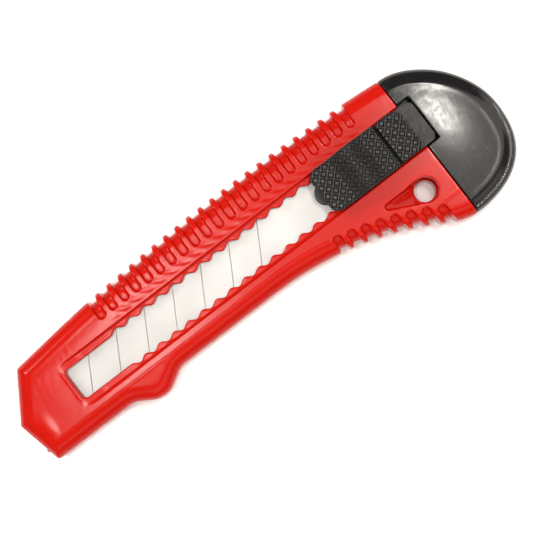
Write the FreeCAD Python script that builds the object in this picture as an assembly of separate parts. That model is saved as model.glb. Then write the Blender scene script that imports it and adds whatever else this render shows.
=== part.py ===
import FreeCAD, Part
import math
import os

# Snap-off blade cutter for 18 mm blades, lying on its flat back.
# Millimetres. +X runs from the blade's mouth to the end cap, +Y from the cutting edge to the
# blade's back, +Z from the flat back to the thumb slider. The origin is under the middle.

V = FreeCAD.Vector
SAME = 1e-6                   # two lengths closer than this are equal
OVERRUN = 1.0                 # how far a cutter passes the surface that it opens
FAR = 100.0                   # outside everything

# ---- driving dimensions: whole knife -------------------------------------------------------
BODY_T = 12.0                 # back face to the front face's plateau
JOINT_X = 57.6                # rear end of the handle, where the end cap starts
TOP_CORNER_X = -72.2          # sharp corners of the outline, before rounding
NOSE_TIP = (-81.1, 6.0)
LOW_CORNER = (-78.0, -8.0)
BELLY_Y = -8.0                # straight lower edge in front of the heel
TOP_START = (-60.7, 21.0)     # long arc along the top edge; straight in front of its start
TOP_CREST = (0.0, 24.65)
TOP_END = (JOINT_X, 22.1)
GUARD_BASE_X = (-51.3, -34.8)   # finger guard: where its flanks leave the lower edge
GUARD_APEX = (-43.1, -12.9)
HEEL_R = 96.4                 # long hollow sweep from the belly to the heel
HEEL_END_X = 49.4
REAR_ANGLE = math.radians(8.0)   # slope left where the heel meets the end cap
TOP_CORNER_R = 2.5
NOSE_TIP_R = 2.2
LOW_CORNER_R = 1.2
GUARD_BASE_R = 6.0
GUARD_APEX_R = 6.9
SHOULDER_R = 4.4              # rolled edge round the front face
BACK_R = 1.8                  # rolled edge round the back

# ---- grip ribs -----------------------------------------------------------------------------
NOTCH_W = 2.4
NOTCH_FLARE = 0.3             # extra half width at the rib tips
RIB_H = 1.35                  # how far the ribs stand proud at the side
NOTCH_DEPTH = 1.1             # below the plateau
TOP_NOTCHES = 22
TOP_NOTCH_X0 = -43.4
TOP_NOTCH_PITCH = 4.186
TOP_NOTCH_END_Y = 15.8
HEEL_NOTCHES = 8
HEEL_NOTCH_X0 = 21.95
HEEL_NOTCH_PITCH = 4.065
HEEL_NOTCH_INSET = 4.9        # inner end of a heel notch, square to the heel sweep

# ---- blade ---------------------------------------------------------------------------------
BLADE_W = 18.0
BLADE_T = 0.5
BLADE_L = 100.0
BLADE_LEAN = math.tan(math.radians(30.0))
SEGMENT = 10.0
SCORES = 7
SCORE_D = 0.12
SCORE_W = 0.3                 # along the blade
EDGE_BEVEL = 1.6              # width of the ground edge
EDGE_T = 0.06                 # thickness left at the cutting edge
PIN_HOLE_R = 1.6
PIN_X = 27.3                  # the slider's post, which the blade hangs on
BLADE_FRONT_X = -66.3         # front end at the blade's middle line

# ---- track in the handle -------------------------------------------------------------------
TRACK_Y = 5.7                 # middle line of blade, slot and slider
RECESS_HALF = 7.05
RECESS_Z = 11.2               # floor of the slider's recess, the top of the rails
RECESS_RAMP_X = (-61.1, -56.1)
SLOT_HALF = 4.8               # slot half width between teeth tips
WAVE_DEPTH = 1.13
WAVE_PITCH = 5.0
WAVE_X0 = -45.2               # first tooth tip
WAVE_COUNT = 21
WINDOW_FRONT_X = -61.4
WINDOW_R = 1.3
RAIL_UNDER_Z = 8.9
BLADE_Z = 8.2                 # underside of the blade
CHANNEL_FLOOR_Z = 8.05
CHANNEL_HALF = BLADE_W / 2 + 0.3
HOLLOW_HALF = 6.8             # saves material under the blade and takes the end cap's plug
HOLLOW_Z = 2.4
HOLLOW_FRONT_X = -60.0        # in front of the slider's post with the blade fully out

# ---- lanyard hole --------------------------------------------------------------------------
HOLE_XY = (49.9, -10.6)
HOLE_R = 3.1
DISH_R = 3.65
DISH_TIP_XY = (38.5, -8.0)
DISH_TIP_R = 0.9
DISH_Z = 8.5
DISH_TIP_Z = 10.6
DISH_FLAT_X = 46.0            # the dish slopes down to here and is level behind

# ---- slider --------------------------------------------------------------------------------
PLATE_GAP = 0.1               # between the slider's plate and the rails
PLATE_T = 1.0
PLATE_HALF = 6.65
SLIDER_FRONT_X = 25.6
PLATE_FRONT_X = 30.0          # stays behind the recess's ramp with the blade fully out
NOSE_R = 3.3
NOSE_Z = 13.0
BUTTON_REAR_X = 48.1
PAD_REAR_X = (49.1, 56.7)
PAD_HALF = 6.7
PAD_Z = 15.8
PAD_CORNER_R = 2.7
TONGUE_END_X = 61.5
TONGUE_R = 2.0
PAD_SPLIT_R = 0.3             # corners of both pads at the groove between them
TRAY_X = 31.3                 # open tray that the button sinks into
TRAY_HALF = 6.9
TRAY_WALL = 0.8
TRAY_Z = 13.3
TRAY_LAP = 0.5                # how far the tray's rear wall stands behind the button
NECK_HALF = 4.6               # runs in the slot, between the teeth tips
NECK_FRONT = (26.4, 37.4)
NECK_REAR = (47.4, 56.4)
NECK_Z = 8.85                 # underside of the front neck, just above the blade
FOOT_X = (46.4, 56.4)         # slides under the rails, behind the blade's rear end
FOOT_HALF = 8.9
FOOT_Z = (8.15, 8.75)
POST_R = 1.5
POST_Z = 8.0

BUTTON_HALF = 6.85
BUTTON_Z = (14.6, 16.4)
HUMP_X = (32.4, 44.2)
HUMP_H = 2.0
SKIRT_Z = 13.5
STEM_X = (40.6, 45.2)         # presses on the lock spring
STEM_HALF = 2.4
STEM_GAP = 0.1                # clearance of stem and skirt
LUG = 0.6                     # snap lugs under the carrier's plate
LUG_Z = 11.2

SPRING_Z = (9.3, 9.7)
SPRING_X = (35.8, 45.4)
SPRING_HALF = 3.6
SPRING_GAP = (0.05, 0.03)     # clearance of its slot in the carrier: along and across, up and down
EAR_VALLEY = 17.5             # pitches from the first tooth tip to the valley that the ears sit in
EAR_HALF_L = 0.7
EAR_REACH = 5.6

# ---- end cap -------------------------------------------------------------------------------
CAP_GAP = 0.3                 # joint line between handle and cap
CAP_X = JOINT_X + CAP_GAP
CAP_CURVE = [(63.3, 21.1), (68.8, 18.15), (73.9, 13.7), (78.1, 7.5), (80.5, 0.7),
             (80.7, -7.0), (78.9, -14.1), (74.6, -19.6), (67.8, -23.1)]
CAP_TOP_Y = 22.05
CAP_LOW_Y = -24.4
CAP_NOTCH_X = 61.85           # bed for the slider's tongue
CAP_NOTCH_Y = (-1.4, 13.3)
CAP_NOTCH_Z = 9.6
PLUG_L = 14.0
PLUG_HALF = HOLLOW_HALF - 0.08   # push fit in the hollow
PLUG_Z = (HOLLOW_Z + 0.06, 7.7)

GATE_XY = (-78.93, -4.1)      # witness of the moulding gate on the nose
GATE_R = 0.6
GATE_Z = (5.2, 6.8)


# ---- helpers -------------------------------------------------------------------------------
def point(xy, z=0.0):
    return V(xy[0], xy[1], z)


def box(x, y, z):
    """Box from three (low, high) pairs."""
    return Part.makeBox(x[1] - x[0], y[1] - y[0], z[1] - z[0], V(x[0], y[0], z[0]))


def about_track(half):
    return (TRACK_Y - half, TRACK_Y + half)


def prism(edges, z_low, z_high):
    face = Part.Face(Part.Wire(Part.__sortEdges__(edges)))
    solid = face.extrude(V(0, 0, z_high - z_low))
    solid.translate(V(0, 0, z_low))
    return solid


def round_chain(corners):
    """Lines and tangent arcs along (x, y, radius) corners. The first and last stay sharp."""
    edges = []
    start = point(corners[0])
    for before, here, after in zip(corners, corners[1:], corners[2:]):
        corner = point(here)
        back = (point(before) - corner).normalize()
        ahead = (point(after) - corner).normalize()
        half = back.getAngle(ahead) / 2
        if here[2] > 0:
            reach = here[2] / math.tan(half)
            middle = (back + ahead).normalize()
            tip = corner + middle * (here[2] / math.sin(half) - here[2])
            edges.append(Part.LineSegment(start, corner + back * reach).toShape())
            edges.append(Part.Arc(corner + back * reach, tip, corner + ahead * reach).toShape())
            start = corner + ahead * reach
        else:
            edges.append(Part.LineSegment(start, corner).toShape())
            start = corner
    edges.append(Part.LineSegment(start, point(corners[-1])).toShape())
    return edges


def round_rect(x, y, r_front, r_rear, z_low, z_high):
    """Block with upright rounded corners: one radius at the -X end, one at the +X end."""
    middle = (x[0] + x[1]) / 2
    corners = [(middle, y[0], 0), (x[1], y[0], r_rear), (x[1], y[1], r_rear), (x[0], y[1], r_front),
               (x[0], y[0], r_front), (middle, y[0], 0)]
    return prism(round_chain(corners), z_low, z_high)


def side_prism(xz, y):
    """Polygon in the XZ plane, extruded over the (low, high) pair y."""
    wire = Part.makePolygon([V(px, y[0], pz) for px, pz in xz + xz[:1]])
    return Part.Face(wire).extrude(V(0, y[1] - y[0], 0))


def edges_at_height(solid, z, keep):
    chosen = []
    for edge in solid.Edges:
        bounds = edge.BoundBox
        if abs(bounds.ZMin - z) < SAME and abs(bounds.ZMax - z) < SAME and keep(edge):
            chosen.append(edge)
    return chosen


def roll_edges(solid, z_top, r_top, r_back, joint_x):
    """Round the top and back edges, but not those that lie in the joint face."""
    def free(edge):
        return edge.BoundBox.XLength > SAME or abs(edge.BoundBox.XMin - joint_x) > SAME

    solid = solid.makeFillet(r_top, edges_at_height(solid, z_top, free))
    return solid.makeFillet(r_back, edges_at_height(solid, 0.0, free))


def export(name, shape):
    shape = shape.removeSplitter()
    solids = shape.Solids
    shape = solids[0] if len(solids) == 1 else Part.makeCompound(solids)
    size = shape.BoundBox
    print("%-14s solids %d valid %s volume %9.1f  x %.2f..%.2f y %.2f..%.2f z %.2f..%.2f" % (
        name, len(solids), shape.isValid(), shape.Volume, size.XMin, size.XMax, size.YMin,
        size.YMax, size.ZMin, size.ZMax))
    shape.exportStep("parts/%s.step" % name)


# ---- handle --------------------------------------------------------------------------------
def heel_y(x):
    """Height of the hollow heel sweep at x."""
    return BELLY_Y - (HEEL_R - math.sqrt(HEEL_R ** 2 - x ** 2))


def rear_arc():
    """Arc that carries on from the heel sweep, curling back to the joint."""
    slope = math.asin(HEEL_END_X / HEEL_R)
    radius = (JOINT_X - HEEL_END_X) / (math.sin(slope) - math.sin(REAR_ANGLE))

    def at(angle):
        return V(HEEL_END_X + radius * (math.sin(slope) - math.sin(angle)),
                 heel_y(HEEL_END_X) - radius * (math.cos(angle) - math.cos(slope)), 0)

    return Part.Arc(at(slope), at((slope + REAR_ANGLE) / 2), at(REAR_ANGLE)).toShape()


def top_arc():
    """Edge of the long top arc, from the joint to the nose."""
    return Part.Arc(point(TOP_END), point(TOP_CREST), point(TOP_START)).toShape()


def top_corner():
    """Nose corner on the tangent at the front end of the top arc."""
    arc = top_arc().Curve
    slope = (arc.Center.x - TOP_START[0]) / (TOP_START[1] - arc.Center.y)
    return (TOP_CORNER_X, TOP_START[1] + slope * (TOP_CORNER_X - TOP_START[0]))


def top_edge_y(x):
    """Height of the top arc at x."""
    arc = top_arc().Curve
    return arc.Center.y + math.sqrt(arc.Radius ** 2 - (x - arc.Center.x) ** 2)


def handle_outline():
    """Closed outline of the handle at the rib tips, with its nose corners still sharp."""
    chain = [TOP_START + (0,), top_corner() + (0,), NOSE_TIP + (0,), LOW_CORNER + (0,),
             (GUARD_BASE_X[0], BELLY_Y, GUARD_BASE_R), GUARD_APEX + (GUARD_APEX_R,),
             (GUARD_BASE_X[1], BELLY_Y, GUARD_BASE_R), (0.0, BELLY_Y, 0)]
    heel_end = (HEEL_END_X, heel_y(HEEL_END_X))
    heel_mid = (HEEL_END_X / 2, heel_y(HEEL_END_X / 2))
    rear = rear_arc()
    edges = round_chain(chain)
    edges.append(Part.Arc(point((0.0, BELLY_Y)), point(heel_mid), point(heel_end)).toShape())
    edges.append(rear)
    edges.append(Part.LineSegment(rear.valueAt(rear.LastParameter), point(TOP_END)).toShape())
    edges.append(top_arc())
    return edges


def nose_trim():
    """Prism round the whole handle that rounds off the three nose corners."""
    corner = top_corner()
    slope = (TOP_START[1] - corner[1]) / (TOP_START[0] - corner[0])
    ridge = (0, corner[1] - slope * corner[0], 0)
    belly_x = GUARD_BASE_X[0] - GUARD_BASE_R
    corners = [ridge, corner + (TOP_CORNER_R,), NOSE_TIP + (NOSE_TIP_R,), LOW_CORNER + (LOW_CORNER_R,),
               (belly_x, BELLY_Y, 0), (belly_x, -FAR, 0), (FAR, -FAR, 0), (FAR, FAR, 0), ridge]
    return prism(round_chain(corners), -OVERRUN, BODY_T + OVERRUN)


def handle_block():
    """Outside of the handle at the rib tips, with rolled edges."""
    block = prism(handle_outline(), 0.0, BODY_T)
    return roll_edges(block, BODY_T, SHOULDER_R, BACK_R, JOINT_X).common(nose_trim())


def handle_core():
    """The surface that the notches are cut down to, inset from the rib tips."""
    wire = Part.Wire(Part.__sortEdges__(handle_outline()))
    inset = wire.makeOffset2D(-RIB_H)
    top = BODY_T - NOTCH_DEPTH
    core = Part.Face(inset).extrude(V(0, 0, top))
    return roll_edges(core, top, SHOULDER_R - NOTCH_DEPTH / 2, BACK_R, JOINT_X - RIB_H)


def notch(inner, side, length):
    """Upright U-shaped cutter from its inner end to the +Y or -Y side, flared at the rib tips."""
    half = NOTCH_W / 2
    y_end = inner[1] + side * half
    y_flare = inner[1] + side * (length - RIB_H)
    y_out = inner[1] + side * (length + OVERRUN)
    low = point((inner[0] - half, y_end))
    high = point((inner[0] + half, y_end))
    flare = half + NOTCH_FLARE
    points = [high, point((inner[0] + half, y_flare)), point((inner[0] + flare, y_flare + side * RIB_H)),
              point((inner[0] + flare, y_out)), point((inner[0] - flare, y_out)),
              point((inner[0] - flare, y_flare + side * RIB_H)), point((inner[0] - half, y_flare)), low]
    edges = [Part.LineSegment(a, b).toShape() for a, b in zip(points, points[1:])]
    edges.append(Part.Arc(low, point(inner), high).toShape())
    return prism(edges, -OVERRUN, BODY_T + OVERRUN)


def notches():
    cutters = []
    for i in range(TOP_NOTCHES):
        x = TOP_NOTCH_X0 + i * TOP_NOTCH_PITCH
        cutters.append(notch((x, TOP_NOTCH_END_Y), 1, top_edge_y(x) - TOP_NOTCH_END_Y))
    for i in range(HEEL_NOTCHES):
        x = HEEL_NOTCH_X0 + i * HEEL_NOTCH_PITCH
        inset = HEEL_NOTCH_INSET * HEEL_R / math.sqrt(HEEL_R ** 2 - x ** 2)
        cutters.append(notch((x, heel_y(x) + inset), -1, inset))
    return Part.makeCompound(cutters)


def wave_edge(side):
    """One toothed edge of the slot: side is -1 for the cutting edge's rail, +1 for the other."""
    per_pitch = 4
    points = []
    for i in range(WAVE_COUNT * per_pitch + 1):
        swell = (1 - math.cos(2 * math.pi * i / per_pitch)) / 2
        points.append(point((WAVE_X0 + i * WAVE_PITCH / per_pitch,
                             TRACK_Y + side * (SLOT_HALF + WAVE_DEPTH * swell))))
    curve = Part.BSplineCurve()
    curve.interpolate(Points=points, InitialTangent=V(1, 0, 0), FinalTangent=V(1, 0, 0))
    return curve.toShape(), points[-1]


def slot():
    low, high = about_track(SLOT_HALF)
    edges = round_chain([(WAVE_X0, high, 0), (WINDOW_FRONT_X, high, WINDOW_R),
                         (WINDOW_FRONT_X, low, WINDOW_R), (WAVE_X0, low, 0)])
    low_wave, low_end = wave_edge(-1)
    high_wave, high_end = wave_edge(1)
    edges += [low_wave, high_wave, Part.LineSegment(low_end, high_end).toShape()]
    return prism(edges, CHANNEL_FLOOR_Z, BODY_T + OVERRUN)


def recess():
    """Shallow bed of the slider, fading out in a ramp towards the nose."""
    xz = [(RECESS_RAMP_X[0], BODY_T), (RECESS_RAMP_X[1], RECESS_Z), (JOINT_X + OVERRUN, RECESS_Z),
          (JOINT_X + OVERRUN, BODY_T + OVERRUN), (RECESS_RAMP_X[0], BODY_T + OVERRUN)]
    return side_prism(xz, about_track(RECESS_HALF))


def channel():
    """Guide for the blade, open at the mouth and at the rear, with a hollow under it."""
    rear = JOINT_X + OVERRUN
    guide = box((NOSE_TIP[0] - OVERRUN, rear), about_track(CHANNEL_HALF), (CHANNEL_FLOOR_Z, RAIL_UNDER_Z))
    hollow = box((HOLLOW_FRONT_X, rear), about_track(HOLLOW_HALF), (HOLLOW_Z, CHANNEL_FLOOR_Z))
    return guide.fuse(hollow)


def tangent_hull(a, r_a, b, r_b, z_low, z_high):
    """Upright prism around two circles and their outer tangents."""
    along = point(b) - point(a)
    turn = math.acos((r_a - r_b) / along.Length)
    heading = math.atan2(along.y, along.x)

    def rim(centre, radius, angle):
        return V(centre[0] + radius * math.cos(angle), centre[1] + radius * math.sin(angle), 0)

    up, down = heading + turn, heading - turn
    edges = [Part.LineSegment(rim(a, r_a, up), rim(b, r_b, up)).toShape(),
             Part.Arc(rim(b, r_b, up), rim(b, r_b, heading), rim(b, r_b, down)).toShape(),
             Part.LineSegment(rim(b, r_b, down), rim(a, r_a, down)).toShape(),
             Part.Arc(rim(a, r_a, down), rim(a, r_a, heading + math.pi), rim(a, r_a, up)).toShape()]
    return prism(edges, z_low, z_high)


def lanyard_dish():
    """Teardrop dish that gets deeper towards the lanyard hole, and the hole itself."""
    drop = tangent_hull(DISH_TIP_XY, DISH_TIP_R, HOLE_XY, DISH_R, 0.0, BODY_T + OVERRUN)
    tip_x = DISH_TIP_XY[0] - DISH_TIP_R - OVERRUN
    xz = [(tip_x, DISH_TIP_Z), (DISH_FLAT_X, DISH_Z), (JOINT_X, DISH_Z), (JOINT_X, FAR), (tip_x, FAR)]
    depth = side_prism(xz, (-FAR, FAR))
    hole = Part.makeCylinder(HOLE_R, BODY_T + 2 * OVERRUN, point(HOLE_XY, -OVERRUN))
    return drop.common(depth).fuse(hole)


def handle_shell():
    body = handle_block().cut(notches()).fuse(handle_core())
    gate = Part.makeCylinder(GATE_R, GATE_Z[1] - GATE_Z[0], point(GATE_XY, GATE_Z[0]))
    body = body.fuse(gate)
    for cutter in (recess(), channel(), slot(), lanyard_dish()):
        body = body.cut(cutter)
    return body


# ---- blade ---------------------------------------------------------------------------------
def slanted(x, y, z):
    """Point at height y on the slanted line that crosses the blade's middle line at x."""
    return V(x + BLADE_LEAN * (y - TRACK_Y), y, z)


def slanted_strip(x, y, z):
    """Slanted block between three (low, high) pairs; x is measured on the blade's middle line."""
    corners = [slanted(x[0], y[0], z[0]), slanted(x[1], y[0], z[0]), slanted(x[1], y[1], z[0]),
               slanted(x[0], y[1], z[0])]
    return Part.Face(Part.makePolygon(corners + corners[:1])).extrude(V(0, 0, z[1] - z[0]))


def blade():
    """Parallelogram strip with a ground edge, snap-off scores and a hole for the slider's post."""
    y_low, y_high = about_track(BLADE_W / 2)
    z_top = BLADE_Z + BLADE_T
    front, rear = BLADE_FRONT_X, BLADE_FRONT_X + BLADE_L
    strip = slanted_strip((front, rear), (y_low, y_high), (BLADE_Z, z_top))
    middle = BLADE_Z + BLADE_T / 2
    y_out = y_low - OVERRUN
    for z_face, z_edge in ((z_top, middle + EDGE_T / 2), (BLADE_Z, middle - EDGE_T / 2)):
        bevel = Part.makePolygon([V(-FAR, y_low, z_edge), V(-FAR, y_low + EDGE_BEVEL, z_face),
                                  V(-FAR, y_out, z_face), V(-FAR, y_out, z_edge),
                                  V(-FAR, y_low, z_edge)])
        strip = strip.cut(Part.Face(bevel).extrude(V(2 * FAR, 0, 0)))
    for i in range(SCORES):
        x = front + SEGMENT * (i + 1)
        groove = slanted_strip((x - SCORE_W / 2, x + SCORE_W / 2), (y_out, y_high + OVERRUN),
                               (z_top - SCORE_D, z_top + OVERRUN))
        strip = strip.cut(groove)
    hole = Part.makeCylinder(PIN_HOLE_R, BLADE_T + 2 * OVERRUN, V(PIN_X, TRACK_Y, BLADE_Z - OVERRUN))
    return strip.cut(hole)


# ---- slider --------------------------------------------------------------------------------
def slide_carrier():
    plate_z = (RECESS_Z + PLATE_GAP, RECESS_Z + PLATE_GAP + PLATE_T)
    plate = round_rect((PLATE_FRONT_X, TONGUE_END_X), about_track(PLATE_HALF), TONGUE_R, TONGUE_R,
                       plate_z[0], plate_z[1])
    pad = round_rect(PAD_REAR_X, about_track(PAD_HALF), PAD_SPLIT_R, PAD_CORNER_R, plate_z[0], PAD_Z)
    nose = Part.makeCylinder(NOSE_R, NOSE_Z - NECK_Z, V(PIN_X, TRACK_Y, NECK_Z))
    post = Part.makeCylinder(POST_R, plate_z[1] - POST_Z, V(PIN_X, TRACK_Y, POST_Z))
    neck_front = box(NECK_FRONT, about_track(NECK_HALF), (NECK_Z, plate_z[1]))
    neck_rear = box(NECK_REAR, about_track(NECK_HALF), (FOOT_Z[0], plate_z[1]))
    foot = box(FOOT_X, about_track(FOOT_HALF), FOOT_Z)
    tray = box((TRAY_X, BUTTON_REAR_X + TRAY_LAP), about_track(TRAY_HALF), (plate_z[0], TRAY_Z))
    body = plate.multiFuse([pad, nose, post, neck_front, neck_rear, foot, tray])
    well = box((TRAY_X + TRAY_WALL, BUTTON_REAR_X), about_track(TRAY_HALF - TRAY_WALL),
               (plate_z[1], TRAY_Z + OVERRUN))
    stem_hole = box((STEM_X[0] - STEM_GAP, STEM_X[1] + STEM_GAP), about_track(STEM_HALF + STEM_GAP),
                    (plate_z[0] - OVERRUN, plate_z[1] + OVERRUN))
    flat_gap, high_gap = SPRING_GAP
    spring_slot = box((SPRING_X[0] - flat_gap, NECK_FRONT[1] + OVERRUN),
                      about_track(SPRING_HALF + flat_gap), (SPRING_Z[0] - high_gap, SPRING_Z[1] + high_gap))
    for cutter in (well, stem_hole, spring_slot):
        body = body.cut(cutter)
    return body


def hump(x, half, z_base):
    """Smooth thumb rise across the pad: a cosine swell in side view."""
    steps = 16
    down = V(0, 0, OVERRUN)
    points = []
    for i in range(steps + 1):
        swell = (1 - math.cos(2 * math.pi * i / steps)) / 2
        points.append(V(x[0] + (x[1] - x[0]) * i / steps, TRACK_Y - half, z_base + HUMP_H * swell))
    curve = Part.BSplineCurve()
    curve.interpolate(Points=points, InitialTangent=V(1, 0, 0), FinalTangent=V(1, 0, 0))
    foot = [points[-1], points[-1] - down, points[0] - down, points[0]]
    edges = [curve.toShape()] + [Part.LineSegment(a, b).toShape() for a, b in zip(foot, foot[1:])]
    return Part.Face(Part.Wire(Part.__sortEdges__(edges))).extrude(V(0, 2 * half, 0))


def thumb_button():
    pad = round_rect((SLIDER_FRONT_X, BUTTON_REAR_X), about_track(BUTTON_HALF), PAD_CORNER_R,
                     PAD_SPLIT_R, BUTTON_Z[0], BUTTON_Z[1])
    skirt_half = TRAY_HALF - TRAY_WALL - STEM_GAP
    skirt = box((TRAY_X + TRAY_WALL + STEM_GAP, BUTTON_REAR_X - STEM_GAP), about_track(skirt_half),
                (SKIRT_Z, BUTTON_Z[0]))
    stem = box(STEM_X, about_track(STEM_HALF), (SPRING_Z[1], SKIRT_Z))
    lug = box((STEM_X[0] - LUG, STEM_X[1] + LUG), about_track(STEM_HALF), (SPRING_Z[1], LUG_Z))
    return pad.multiFuse([hump(HUMP_X, BUTTON_HALF, BUTTON_Z[1]), skirt, stem, lug])


def lock_spring():
    """Steel leaf held in the carrier, with an ear each side that drops into the wave edge."""
    leaf = box(SPRING_X, about_track(SPRING_HALF), SPRING_Z)
    ear_x = WAVE_X0 + WAVE_PITCH * EAR_VALLEY
    ears = box((ear_x - EAR_HALF_L, ear_x + EAR_HALF_L), about_track(EAR_REACH), SPRING_Z)
    return leaf.fuse(ears)


# ---- end cap -------------------------------------------------------------------------------
def end_cap():
    """Half-moon cap with a bed for the slider's tongue and a plug that holds it in the handle."""
    top, low = point((CAP_X, CAP_TOP_Y)), point((CAP_X, CAP_LOW_Y))
    curve = Part.BSplineCurve()
    curve.interpolate(Points=[top] + [point(p) for p in CAP_CURVE] + [low])
    block = prism([curve.toShape(), Part.LineSegment(low, top).toShape()], 0.0, BODY_T)
    block = roll_edges(block, BODY_T, SHOULDER_R, BACK_R, CAP_X)
    bed = box((CAP_X - OVERRUN, CAP_NOTCH_X), CAP_NOTCH_Y, (CAP_NOTCH_Z, BODY_T + OVERRUN))
    plug = box((CAP_X - PLUG_L, CAP_X + OVERRUN), about_track(PLUG_HALF), PLUG_Z)
    return block.cut(bed).fuse(plug)


def main():
    os.makedirs("parts", exist_ok=True)
    export("handle_shell", handle_shell())
    export("end_cap", end_cap())
    export("slide_carrier", slide_carrier())
    export("thumb_button", thumb_button())
    export("lock_spring", lock_spring())
    export("blade", blade())


main()
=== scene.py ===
import math

import bpy
import numpy as np
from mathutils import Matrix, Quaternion, Vector


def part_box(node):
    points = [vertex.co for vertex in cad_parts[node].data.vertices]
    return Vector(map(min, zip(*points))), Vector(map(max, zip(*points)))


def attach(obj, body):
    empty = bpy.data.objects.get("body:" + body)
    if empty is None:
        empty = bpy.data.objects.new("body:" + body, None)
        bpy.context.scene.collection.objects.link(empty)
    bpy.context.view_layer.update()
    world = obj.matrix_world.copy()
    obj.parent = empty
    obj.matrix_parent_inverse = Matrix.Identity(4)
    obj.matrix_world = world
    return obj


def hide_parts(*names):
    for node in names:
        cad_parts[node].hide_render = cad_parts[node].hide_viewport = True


# A red snap-off blade cutter lying on its back on a pale floor.
# Lengths are in millimetres, and MM turns them into Blender's metres.

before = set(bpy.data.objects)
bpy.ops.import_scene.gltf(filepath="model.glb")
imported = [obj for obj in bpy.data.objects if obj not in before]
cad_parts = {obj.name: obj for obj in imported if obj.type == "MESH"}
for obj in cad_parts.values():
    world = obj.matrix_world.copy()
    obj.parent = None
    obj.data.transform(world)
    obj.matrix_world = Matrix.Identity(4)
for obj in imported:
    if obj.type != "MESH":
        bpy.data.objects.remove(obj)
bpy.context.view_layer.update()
MM = 0.001
SCENE = bpy.context.scene

# ---- places worked out from the frame --------------------------------------------------------
BLADE_LEAN = math.tan(math.radians(30))
BLADE_LOW, BLADE_HIGH = (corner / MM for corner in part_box("blade"))
TRACK_Y = (BLADE_LOW.y + BLADE_HIGH.y) / 2                          # middle of blade and slot
BLADE_FRONT_X = BLADE_LOW.x + BLADE_LEAN * (TRACK_Y - BLADE_LOW.y)  # on that middle line
PLATEAU_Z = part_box("handle_shell")[1].z / MM                        # front face of handle and cap

# ---- places on the knife that the frame's boxes don't give -----------------------------------
NOTCH_X0 = -43.4              # first notch of the top edge, and their pitch
NOTCH_PITCH = 4.186
NOTCH_END_Y = 15.8            # inner ends of those notches
RECESS_Y = 12.75              # upper edge of the slider's recess
UPPER_EDGE = (26.0, 0.095)    # upper edge beside the nose: its y at x = 0, and its slope
BELLY_Y = -8.0                # straight lower edge, and the hollow sweep behind it
HEEL_R = 96.4
SHOULDER = 4.4                # width of the rolled edge
GUARD_X = -43.1               # middle of the finger guard
HEEL_NOTCHES_X = (20.5, 51.5)
NOSE_RISE = (-74.2, 1.1)      # soft rise on the nose
SEGMENT = 10.0                # snap-off length of the blade
WINDOW_FRONT_X = -61.4        # front wall of the window, and where the slider's recess begins
RECESS_RAMP_X = (-61.1, -56.1)
RECESS_DROP = 0.8
DISH_TIP = (38.5, -8.0, 0.9)  # place and radius of the two ends of the lanyard hole's dish
DISH_ROUND = (49.9, -10.6, 3.65)
DISH_FLOOR_Z = (8.5, 10.6)    # height of its floor in the CAD at the hole and at the tip
DISH_SLOPE = 0.28             # roughly the slope between them
CAP_BED_Z = 9.6               # height of the bed for the slider's tongue
CAP_BED_X = 62.2              # just past that bed's right end
CAP_BED_HALF = 8.0            # just past its sides, from the track's middle
CAP_CREST = (61.5, 6.0)       # highest point of the cap's slightly crowned face
CAP_CROWN_R = (200.0, 400.0)
HUMP_X = 38.5                 # middle of the button's hump
PAD_REAR = (48.9, 15.6)       # the knurl is behind this x and above this z, on the rear pad
PAD_BUTTON = (0.0, 16.2)      # and on the button
KNURL_PITCH = 2.0             # across the diagonal ridges of the thumb pads
KNURL_DEPTH = 0.55
RIDGE_HALF = 0.25
RIDGE_TOP = 0.92              # height of the ridges as a share of the knobs' height
KNOB_HALF = 0.57
KNURL_SOFT = 0.07             # rounding of ridges and knobs
SCORE_DEPTH = 0.12            # of the CAD's flat-floored scores on the blade
SCORE_REACH = 0.2             # just past half their width

# ---- sizes of the surface relief -------------------------------------------------------------
FLOW_SLANT = math.radians(-37)   # flow marks that run from the notches
FLOW_DEPTH = 0.07
HANDLE_CREST = 0.07           # ridge along the inner side of the lower rolled edge
GUARD_SLOPE = 0.045           # the guard's face falls off towards its edge
NOSE_RISE_H = 0.095
ROUNDING_W = 2.5              # soft start of the rolled edge beside the nose
ROUNDING_R = 70.0
RAIL_TILT = 0.05              # rails fall off towards their outer sides
BEAD_H = 0.09                 # round the window's front end
WALL_LEAN = 0.4               # of the window's front wall
CAP_RIM_CREST = 0.06          # height and half width of the ridge inside the cap's rolled edge
CAP_RIM_WIDTH = 0.9
CAP_BED_SLOPE = 0.17
SCORE_LIFT = 0.03
HUMP_WORN = 0.35              # share of the knurl that wear has taken off the hump
HUMP_UNEVEN = 0.06


# ---- numbers ---------------------------------------------------------------------------------
def ramp(value, low, high):
    """0 below low, 1 above high, smooth between."""
    t = np.clip((value - low) / (high - low), 0, 1)
    return t * t * (3 - 2 * t)


def bell(value, width):
    return np.exp(-(value / width) ** 2)


def ripple(x, y, wavelength, seed):
    """Smooth irregular surface between about -1 and 1: a few waves in seeded directions."""
    draw = np.random.default_rng(seed)
    total = np.zeros_like(x)
    waves = 9
    for _ in range(waves):
        angle = draw.uniform(0, 2 * math.pi)
        k = 2 * math.pi / (wavelength * draw.uniform(0.7, 1.5))
        phase = draw.uniform(0, 2 * math.pi)
        total += np.sin(k * (x * math.cos(angle) + y * math.sin(angle)) + phase)
    return total / math.sqrt(waves)


# ---- meshes ----------------------------------------------------------------------------------
def baked(piece):
    """Puts the piece's modifiers into its mesh."""
    graph = bpy.context.evaluated_depsgraph_get()
    mesh = bpy.data.meshes.new_from_object(piece.evaluated_get(graph))
    piece.modifiers.clear()
    piece.data = mesh


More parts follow.
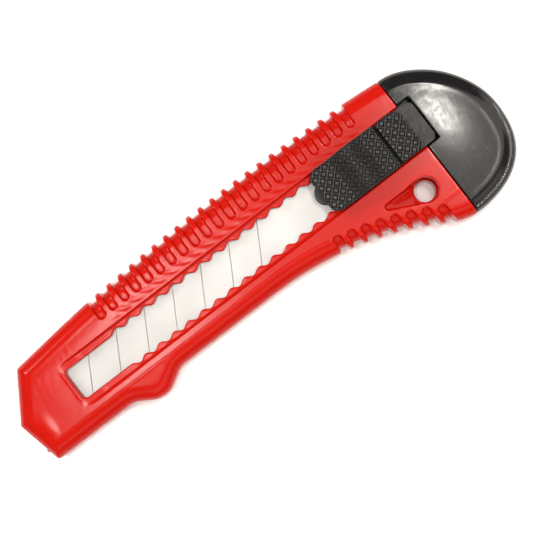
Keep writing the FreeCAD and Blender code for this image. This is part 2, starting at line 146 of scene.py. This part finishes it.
def moulded(name, node, voxel, rounds, relief, faces=None):
    """Copy of a CAD node as it leaves the mould: edges softened, then its surface relief.

    voxel is the mesh's grid in millimetres, rounds is how often it is smoothed, and faces is
    how many triangles it may keep.
    """
    piece = bpy.data.objects.new(name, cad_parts[node].data.copy())
    SCENE.collection.objects.link(piece)
    remesh = piece.modifiers.new("remesh", "REMESH")
    remesh.mode = "VOXEL"
    remesh.voxel_size = voxel * MM * 1
    smooth = piece.modifiers.new("smooth", "SMOOTH")
    smooth.factor = 0.5
    smooth.iterations = rounds
    baked(piece)
    reshape(piece.data, relief)
    if faces:
        now = sum(len(p.vertices) - 2 for p in piece.data.polygons)
        decimate = piece.modifiers.new("decimate", "DECIMATE")
        decimate.ratio = min(1, faces / now)
        baked(piece)
    piece.data.shade_smooth()
    return piece


def reshape(mesh, relief):
    """Moves a mesh's points by relief(points, normals), which works in millimetres."""
    points = np.empty(len(mesh.vertices) * 3)
    normals = np.empty(len(mesh.vertices) * 3)
    mesh.vertices.foreach_get("co", points)
    mesh.vertices.foreach_get("normal", normals)
    points = relief(points.reshape(-1, 3) / MM, normals.reshape(-1, 3))
    mesh.vertices.foreach_set("co", points.ravel() * MM)
    mesh.update()


def put(piece, node, body, material):
    """Dresses a piece, stands it for its CAD node and lets it ride on its body."""
    piece.data.materials.clear()
    piece.data.materials.append(material)
    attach(piece, body)
    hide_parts(node)


# ---- surface relief --------------------------------------------------------------------------
def facing_up(normals):
    """1 on upward faces, 0 on walls."""
    return ramp(normals[:, 2], 0.6, 0.95)


def on_top(points, normals):
    """1 on the upward faces near the top, 0 elsewhere."""
    return facing_up(normals) * ramp(points[:, 2], PLATEAU_Z - 2, PLATEAU_Z - 1)


def lower_edge(x):
    """y of the handle's lower edge: straight, then the hollow heel sweep."""
    sweep = np.clip(x, 0, HEEL_R / 2)
    return BELLY_Y - HEEL_R + np.sqrt(HEEL_R ** 2 - sweep ** 2)


def handle_relief(points, normals):
    """All that makes the handle uneven, from its flow marks to the lanyard hole's dish."""
    x, y = points[:, 0], points[:, 1]
    up = on_top(points, normals)
    marks = -FLOW_DEPTH * flow_marks(x, y)
    inset = y - lower_edge(x)
    clear_of_notches = 1 - ramp(x, HEEL_NOTCHES_X[0] - 1, HEEL_NOTCHES_X[0])
    clear_of_notches += ramp(x, HEEL_NOTCHES_X[1], HEEL_NOTCHES_X[1] + 1)
    crest = HANDLE_CREST * bell(inset - SHOULDER, 0.3) * clear_of_notches * ramp(x, -76, -74)
    guard = -GUARD_SLOPE * np.clip(SHOULDER - inset, 0, 6) * bell(x - GUARD_X, 7.5)
    rise = NOSE_RISE_H * bell(x - NOSE_RISE[0], 1.7) * bell(y - NOSE_RISE[1], 3.3)
    grain = 0.003 * ripple(x, y, 2.4, 3) + 0.004 * ripple(x, y, 9.0, 4)
    below_edge = UPPER_EDGE[0] + UPPER_EDGE[1] * x - y
    rounding = np.clip(SHOULDER + ROUNDING_W - below_edge, 0, ROUNDING_W) ** 2 / (2 * ROUNDING_R)
    rounding = rounding * (1 - ramp(x, -47, -43))
    points[:, 2] -= dish_fall(x, y, points[:, 2])
    points[:, 2] += up * (marks + crest + guard + rise + grain - rounding)
    return window_relief(points, normals)


def flow_marks(x, y):
    """1 along slanting lines, one below each notch of the top edge."""
    across = -(x - NOTCH_X0) * math.sin(FLOW_SLANT) + (y - NOTCH_END_Y) * math.cos(FLOW_SLANT)
    step = NOTCH_PITCH * abs(math.sin(FLOW_SLANT))
    across = (across / step - 0.1 + 0.5) % 1 - 0.5
    band = ramp(y, RECESS_Y + 0.5, RECESS_Y + 1.6)
    band = band * (1 - ramp(y, NOTCH_END_Y - 0.6, NOTCH_END_Y + 0.4))
    return bell(across, 0.3) * band * ramp(x, -44, -38) * (1 - ramp(x, 44, 49))


def dish_fall(x, y, z):
    """How far points sink in the lanyard hole's dish: its floor is creased and below the CAD's.

    The floor falls towards the hole, and above its crease it also falls sideways. The walls
    stretch with it.
    """
    (tip_x, tip_y, tip_r), (hole_x, hole_y, hole_r) = DISH_TIP, DISH_ROUND
    length = math.hypot(hole_x - tip_x, hole_y - tip_y)
    way_x, way_y = (hole_x - tip_x) / length, (hole_y - tip_y) / length
    along = (x - tip_x) * way_x + (y - tip_y) * way_y
    side = (y - tip_y) * way_x - (x - tip_x) * way_y
    share = np.clip(along / length, 0, 1)
    outside = np.hypot(along - share * length, side) - tip_r - share * (hole_r - tip_r)
    fall = 0.16 * np.clip(along - 0.5, 0, 8.5) + DISH_SLOPE * np.clip(along - 7.7, 0, 1.5)
    fall += 0.18 * np.clip(side + 0.3, 0, 4) * ramp(along, 0.5, 3)
    floor = np.maximum(DISH_FLOOR_Z[1] - DISH_SLOPE * (x - tip_x), DISH_FLOOR_Z[0])
    hole_wall = np.clip(z / floor, 0, 1)
    dish_wall = np.clip((PLATEAU_Z - 0.1 - z) / (PLATEAU_Z - 0.25 - floor), 0, 1)
    return fall * hole_wall * dish_wall * (1 - ramp(outside, 0.2, 0.4))


def window_relief(points, normals):
    """Sloping front wall with a bead round it, a soft start of the recess, and tilted rails."""
    x, y, z = points[:, 0], points[:, 1], points[:, 2]
    off_track = np.abs(y - TRACK_Y)
    inside = (1 - ramp(off_track, 6.3, 6.9)) * ramp(z, 10.6, 10.9)
    low, high = RECESS_RAMP_X
    hard = np.clip((x - low) / (high - low), 0, 1)
    drop = RECESS_DROP * (hard - ramp(x, low - 1.5, high + 1.5))
    tilt = -RAIL_TILT * np.clip(off_track - 4.5, 0, 3) * ramp(x, low, high)
    up = facing_up(normals)
    bead = BEAD_H * bell(x - WINDOW_FRONT_X + 0.95, 0.25)
    bead = bead * (1 - ramp(off_track, 4.2, 5.2)) * ramp(z, 11, 11.5)
    points[:, 2] += inside * drop + up * (inside * tilt + bead)
    wall = ramp(normals[:, 0], 0.2, 0.7) * (np.abs(x - WINDOW_FRONT_X) < 0.8) * (off_track < 5)
    points[:, 0] -= WALL_LEAN * wall * ramp(z, 9.4, PLATEAU_Z)
    return points


def cap_relief(points, normals):
    """Crowned face with a ridge inside its rim and a rippled sink mark beside the sloping bed."""
    x, y, z = points[:, 0], points[:, 1], points[:, 2]
    up = on_top(points, normals)
    beside = bell(x - CAP_CREST[0] - 4.0, 5.0) * bell(y - CAP_CREST[1], 9.0)
    crown = -(x - CAP_CREST[0]) ** 2 / (2 * CAP_CROWN_R[0])
    crown = crown - (y - CAP_CREST[1]) ** 2 / (2 * CAP_CROWN_R[1])
    grain = (0.006 * ripple(x, y, 3.0, 7) + 0.001 * ripple(x, y, 0.9, 9)) * beside
    bed = (x < CAP_BED_X) & (np.abs(z - CAP_BED_Z) < 0.5) & (np.abs(y - TRACK_Y) < CAP_BED_HALF)
    bed_fall = CAP_BED_SLOPE * bed * (y - TRACK_Y + CAP_BED_HALF)
    crest = CAP_RIM_CREST * bell(rim_inset(points, normals) - SHOULDER, CAP_RIM_WIDTH)
    crest = crest * ramp(x, 57.9, 60) * (1 - 0.75 * bell(y - 3, 8.0))
    points[:, 2] += up * (crown + grain + crest) - bed_fall
    return points


def rim_inset(points, normals):
    """Distance of each point from the cap's outer wall, seen from above."""
    upright = (np.abs(normals[:, 2]) < 0.2) & (normals[:, 0] > -0.5)
    halfway_up = (np.abs(points[:, 2] - PLATEAU_Z / 2) < 0.25) & (points[:, 0] > 58)
    wall = points[upright & halfway_up, :2]
    inset = np.full(len(points), np.inf)
    for part in np.array_split(wall, max(1, len(wall) // 40)):
        gap = np.hypot(points[:, :1] - part[:, 0], points[:, 1:2] - part[:, 1])
        inset = np.minimum(inset, gap.min(axis=1))
    return inset


def knurl(x, y):
    """Depth below the pad's top: diagonal ridges that cross, with a flat knob in each cell."""
    u = ((x + y - TRACK_Y) / math.sqrt(2) / KNURL_PITCH + 0.5) % 1 - 0.5
    v = ((x - y + TRACK_Y) / math.sqrt(2) / KNURL_PITCH + 0.5) % 1 - 0.5
    u, v = np.abs(u) * KNURL_PITCH, np.abs(v) * KNURL_PITCH
    from_knob = np.maximum(u, v)
    from_ridge = KNURL_PITCH / 2 - from_knob
    ridge = 1 - ramp(from_ridge, RIDGE_HALF - KNURL_SOFT, RIDGE_HALF + KNURL_SOFT)
    knob = 1 - ramp(from_knob, KNOB_HALF - KNURL_SOFT, KNOB_HALF + KNURL_SOFT)
    return KNURL_DEPTH * (1 - np.maximum(RIDGE_TOP * ridge, knob))


def pad_relief(pad):
    """Knurl on a pad's upward faces, uneven on the worn hump."""
    x_low, z_low = pad

    def relief(points, normals):
        x, y, z = points.T
        up = ramp(normals[:, 2], 0.45, 0.8)
        up = up * ramp(z, z_low - 0.3, z_low) * ramp(x, x_low - 0.1, x_low)
        worn = bell(x - HUMP_X, 5.0)
        uneven = HUMP_UNEVEN * worn * ripple(x, y, 1.5, 11)
        points[:, 2] -= up * (knurl(x, y) * (1 - HUMP_WORN * worn) + uneven)
        return points

    return relief


def score_relief(points, normals):
    """Draws the flat floor of each snap-off score together to a line, so the score is a V."""
    floor_z = BLADE_HIGH.z - SCORE_DEPTH
    slant = BLADE_LEAN * (points[:, 1] - TRACK_Y)
    along = points[:, 0] - slant
    nearest = BLADE_FRONT_X + SEGMENT * np.round((along - BLADE_FRONT_X) / SEGMENT)
    floor = (np.abs(along - nearest) < SCORE_REACH) & (np.abs(points[:, 2] - floor_z) < 0.03)
    points[floor, 0] = (nearest + slant + 0.1 * (along - nearest))[floor]
    points[floor, 2] += SCORE_LIFT
    return points


# ---- materials -------------------------------------------------------------------------------
class Graph:
    """One material's nodes. An input is a number, a colour or another node's output."""

    def __init__(self, name):
        self.material = bpy.data.materials.new(name)
        self.material.use_nodes = True
        self.tree = self.material.node_tree
        self.tree.nodes.clear()
        self.place = self.add("ShaderNodeTexCoord").outputs["Object"]

    def add(self, kind, inputs=None, **settings):
        node = self.tree.nodes.new(kind)
        for key, value in settings.items():
            setattr(node, key, value)
        for key, value in (inputs or {}).items():
            if isinstance(value, bpy.types.NodeSocket):
                self.tree.links.new(value, node.inputs[key])
            else:
                node.inputs[key].default_value = value
        return node

    def noise(self, size, detail=3.0, stretch=(1, 1, 1), roughness=0.5):
        """Noise between 0 and 1 whose features are about size millimetres, times stretch."""
        scale = tuple(1 / (size * MM * s) for s in stretch)
        spot = self.add("ShaderNodeMapping", {"Vector": self.place, "Scale": scale})
        inputs = {"Vector": spot.outputs[0], "Scale": 1.0, "Detail": detail, "Roughness": roughness}
        return self.add("ShaderNodeTexNoise", inputs).outputs["Fac"]

    def scale(self, value, low, high, new_low, new_high):
        """Maps low..high to new_low..new_high, clamped."""
        inputs = {"Value": value, "From Min": low, "From Max": high,
                  "To Min": new_low, "To Max": new_high}
        return self.add("ShaderNodeMapRange", inputs).outputs["Result"]

    def mix(self, share, a, b):
        node = self.add("ShaderNodeMix", {0: share, 6: a, 7: b}, data_type="RGBA")
        return node.outputs[2]

    def math(self, operation, a, b):
        return self.add("ShaderNodeMath", {0: a, 1: b}, operation=operation).outputs[0]

    def bump(self, height, depth, under=None):
        """Bump of a height between 0 and 1, depth millimetres high."""
        inputs = {"Height": height, "Distance": depth * MM, "Strength": 1.0}
        if under:
            inputs["Normal"] = under
        return self.add("ShaderNodeBump", inputs).outputs["Normal"]

    def edge(self):
        """1 on convex edges, 0 elsewhere: the mask for highlights painted along them."""
        pointy = self.add("ShaderNodeNewGeometry").outputs["Pointiness"]
        return self.scale(pointy, 0.52, 0.6, 0.0, 1.0)

    def painted_hollow_shade(self):
        """1 in concave corners, 0 elsewhere: the mask for shade painted into them."""
        pointy = self.add("ShaderNodeNewGeometry").outputs["Pointiness"]
        return self.scale(pointy, 0.40, 0.485, 1.0, 0.0)

    def finish(self, inputs):
        shader = self.add("ShaderNodeBsdfPrincipled", inputs)
        self.add("ShaderNodeOutputMaterial", {"Surface": shader.outputs[0]})
        return self.material


def red_plastic():
    g = Graph("red_plastic")
    cloud = g.noise(14.0, detail=2)
    colour = g.mix(cloud, (0.413, 0.0046, 0.0012, 1), (0.457, 0.0060, 0.0017, 1))
    # painted highlight: lighter, stronger red along convex edges
    colour = g.mix(g.math("MULTIPLY", g.edge(), 0.25), colour, (0.52, 0.012, 0.006, 1))
    blotch = g.noise(1.1, detail=4)
    scuff = g.scale(g.noise(0.5, detail=5, stretch=(14, 1, 1)), 0.62, 0.72, 0.0, 1.0)
    rough = g.math("ADD", g.scale(blotch, 0.3, 0.7, 0.14, 0.19), g.math("MULTIPLY", scuff, 0.08))
    normal = g.bump(blotch, 0.004)
    normal = g.bump(g.noise(0.22, detail=2), 0.001, normal)
    return g.finish({"Base Color": colour, "Roughness": rough, "Normal": normal,
                     "Specular IOR Level": 0.13, "Subsurface Weight": 0.06,
                     "Subsurface Radius": (0.0012, 0.0003, 0.0002), "Subsurface Scale": 1.0})


def black_plastic():
    g = Graph("black_gloss_plastic")
    blotch = g.noise(1.0, detail=5, roughness=0.6)
    haze = g.scale(g.noise(5.0, detail=3), 0.35, 0.7, 0.0, 1.0)
    colour = g.mix(haze, (0.004, 0.0038, 0.0038, 1), (0.008, 0.0078, 0.008, 1))
    # painted highlight: lighter grey along convex edges
    colour = g.mix(g.math("MULTIPLY", g.edge(), 0.5), colour, (0.03, 0.03, 0.03, 1))
    scratch = g.scale(g.noise(0.35, detail=4, stretch=(1, 22, 1)), 0.62, 0.7, 0.0, 1.0)
    rough = g.math("ADD", g.scale(blotch, 0.3, 0.7, 0.12, 0.19), g.math("MULTIPLY", scratch, 0.12))
    normal = g.bump(blotch, 0.004)
    normal = g.bump(scratch, 0.0012, normal)
    return g.finish({"Base Color": colour, "Roughness": rough, "Normal": normal, "IOR": 1.52,
                     "Specular IOR Level": 0.24})


def charcoal_plastic():
    g = Graph("charcoal_plastic")
    cloud = g.noise(3.0, detail=3)
    colour = g.mix(cloud, (0.0052, 0.0048, 0.0047, 1), (0.009, 0.0084, 0.0081, 1))
    # painted highlight: lighter grey along convex edges and the knurl's ridges
    colour = g.mix(g.math("MULTIPLY", g.edge(), 0.5), colour, (0.05, 0.047, 0.045, 1))
    # painted shade: near-black in the knurl's grooves and other concave corners
    colour = g.mix(g.painted_hollow_shade(), colour, (0.0015, 0.0014, 0.0013, 1))
    grain = g.noise(0.18, detail=3)
    rough = g.scale(g.noise(0.9, detail=4), 0.3, 0.7, 0.38, 0.56)
    return g.finish({"Base Color": colour, "Roughness": rough, "Normal": g.bump(grain, 0.006),
                     "IOR": 1.5, "Specular IOR Level": 0.35})


def steel(name, colour_low, colour_high, rough_low, rough_high):
    """Rolled strip: fine lines along the strip, with a soft cloudy film of oil."""
    g = Graph(name)
    lines = g.noise(0.12, detail=4, stretch=(60, 1, 1))
    film = g.noise(9.0, detail=3)
    colour = g.mix(film, colour_low, colour_high)
    # painted shade: dark brownish steel in the snap-off scores and other concave corners
    colour = g.mix(g.math("MULTIPLY", g.painted_hollow_shade(), 0.28), colour, (0.10, 0.08, 0.07, 1))
    rough = g.scale(film, 0.3, 0.7, rough_low, rough_high)
    rough = g.math("ADD", rough, g.scale(lines, 0.3, 0.7, 0.0, 0.06))
    return g.finish({"Base Color": colour, "Metallic": 1.0, "Roughness": rough,
                     "Normal": g.bump(lines, 0.0012)})


def floor_paint():
    g = Graph("floor_paint")
    fine = g.noise(3.0, detail=4)
    colour = g.mix(fine, (0.93, 0.93, 0.93, 1), (0.96, 0.96, 0.96, 1))
    return g.finish({"Base Color": colour, "Roughness": 0.9, "Specular IOR Level": 0.1,
                     "Normal": g.bump(fine, 0.01)})


# ---- pieces ----------------------------------------------------------------------------------
def build_knife():
    red, black, charcoal = red_plastic(), black_plastic(), charcoal_plastic()
    blade_steel = steel("blade_steel", (0.334, 0.329, 0.325, 1), (0.384, 0.380, 0.376, 1),
                        0.46, 0.52)
    spring_steel = steel("spring_steel", (0.42, 0.42, 0.43, 1), (0.5, 0.5, 0.51, 1), 0.24, 0.34)

    handle = moulded("handle", "handle_shell", voxel=0.25, rounds=3, relief=handle_relief,
                     faces=190000)
    put(handle, "handle_shell", "handle", red)
    cap = moulded("end_cap_half_moon", "end_cap", voxel=0.2, rounds=4, relief=cap_relief)
    put(cap, "end_cap", "cap", black)
    carrier = moulded("slider", "slide_carrier", voxel=0.12, rounds=2, relief=pad_relief(PAD_REAR))
    put(carrier, "slide_carrier", "slider", charcoal)
    button = moulded("button", "thumb_button", voxel=0.12, rounds=2, relief=pad_relief(PAD_BUTTON))
    put(button, "thumb_button", "button", charcoal)

    strip = bpy.data.objects.new("snap_off_blade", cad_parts["blade"].data.copy())
    SCENE.collection.objects.link(strip)
    reshape(strip.data, score_relief)
    put(strip, "blade", "slider", blade_steel)

    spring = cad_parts["lock_spring"]
    spring.data.materials.clear()
    spring.data.materials.append(spring_steel)


# ---- studio ----------------------------------------------------------------------------------
CAMERA_AT = (7.3, -20.5, 435.6)
CAMERA_TURN = (1.675, 2.255, -37.439)   # degrees
CAMERA_LENS = 102.64
FLOOR_SIZE = 6000.0
SKY_COLOUR = (1, 0.97, 0.94, 1)
SKY_STRENGTH = 0.44
LAMP_COLOUR = (1.0, 0.955, 0.90)
# name, place, point it faces, size, brightness of its face, roll in degrees
LAMPS = [
    ("softbox", (675, -75, 900), (675, -75, 0), (1650, 450), 3.1, 0.0),
    ("key", (-123, 68, 900), (-123, 68, 0), (56, 150), 80.0, -37.5),
    ("kicker", (226, 50, 870), (226, 50, 0), (56, 90), 105.0, 0.0),
    ("side lamp", (-590, 893, 1000), (0, 0, 0), (340, 340), 28.0, 0.0),
    ("bottom panel", (0, -1000, 1000), (0, 0, 0), (1600, 500), 2.0, 0.0),
]


def lamp(name, at, target, size, brightness, roll):
    """Soft rectangular light at a place, turned to a target."""
    light = bpy.data.lights.new(name, "AREA")
    light.shape = "RECTANGLE"
    light.size, light.size_y = size[0] * MM, size[1] * MM
    light.energy = brightness * math.pi * light.size * light.size_y
    light.color = LAMP_COLOUR
    lamp_object = bpy.data.objects.new(name, light)
    SCENE.collection.objects.link(lamp_object)
    lamp_object.location = [v * MM for v in at]
    way = lamp_object.location - Vector([v * MM for v in target])
    turn = way.to_track_quat("Z", "Y") @ Quaternion((0, 0, 1), math.radians(roll))
    lamp_object.rotation_euler = turn.to_euler()


def build_studio():
    half = FLOOR_SIZE / 2 * MM
    mesh = bpy.data.meshes.new("floor")
    corners = [(-half, -half, 0), (half, -half, 0), (half, half, 0), (-half, half, 0)]
    mesh.from_pydata(corners, [], [(0, 1, 2, 3)])
    floor = bpy.data.objects.new("floor", mesh)
    mesh.materials.append(floor_paint())
    SCENE.collection.objects.link(floor)

    world = bpy.data.worlds.new("studio")
    world.use_nodes = True
    sky = world.node_tree.nodes["Background"].inputs
    sky["Color"].default_value = SKY_COLOUR
    sky["Strength"].default_value = SKY_STRENGTH
    SCENE.world = world
    for row in LAMPS:
        lamp(*row)

    camera = bpy.data.cameras.new("camera")
    camera.lens = CAMERA_LENS
    camera.clip_start, camera.clip_end = 0.01, 10
    camera_object = bpy.data.objects.new("camera", camera)
    camera_object.location = [v * MM for v in CAMERA_AT]
    camera_object.rotation_euler = [math.radians(v) for v in CAMERA_TURN]
    SCENE.collection.objects.link(camera_object)
    SCENE.camera = camera_object
    SCENE.view_settings.view_transform = "Standard"


build_studio()
build_knife()
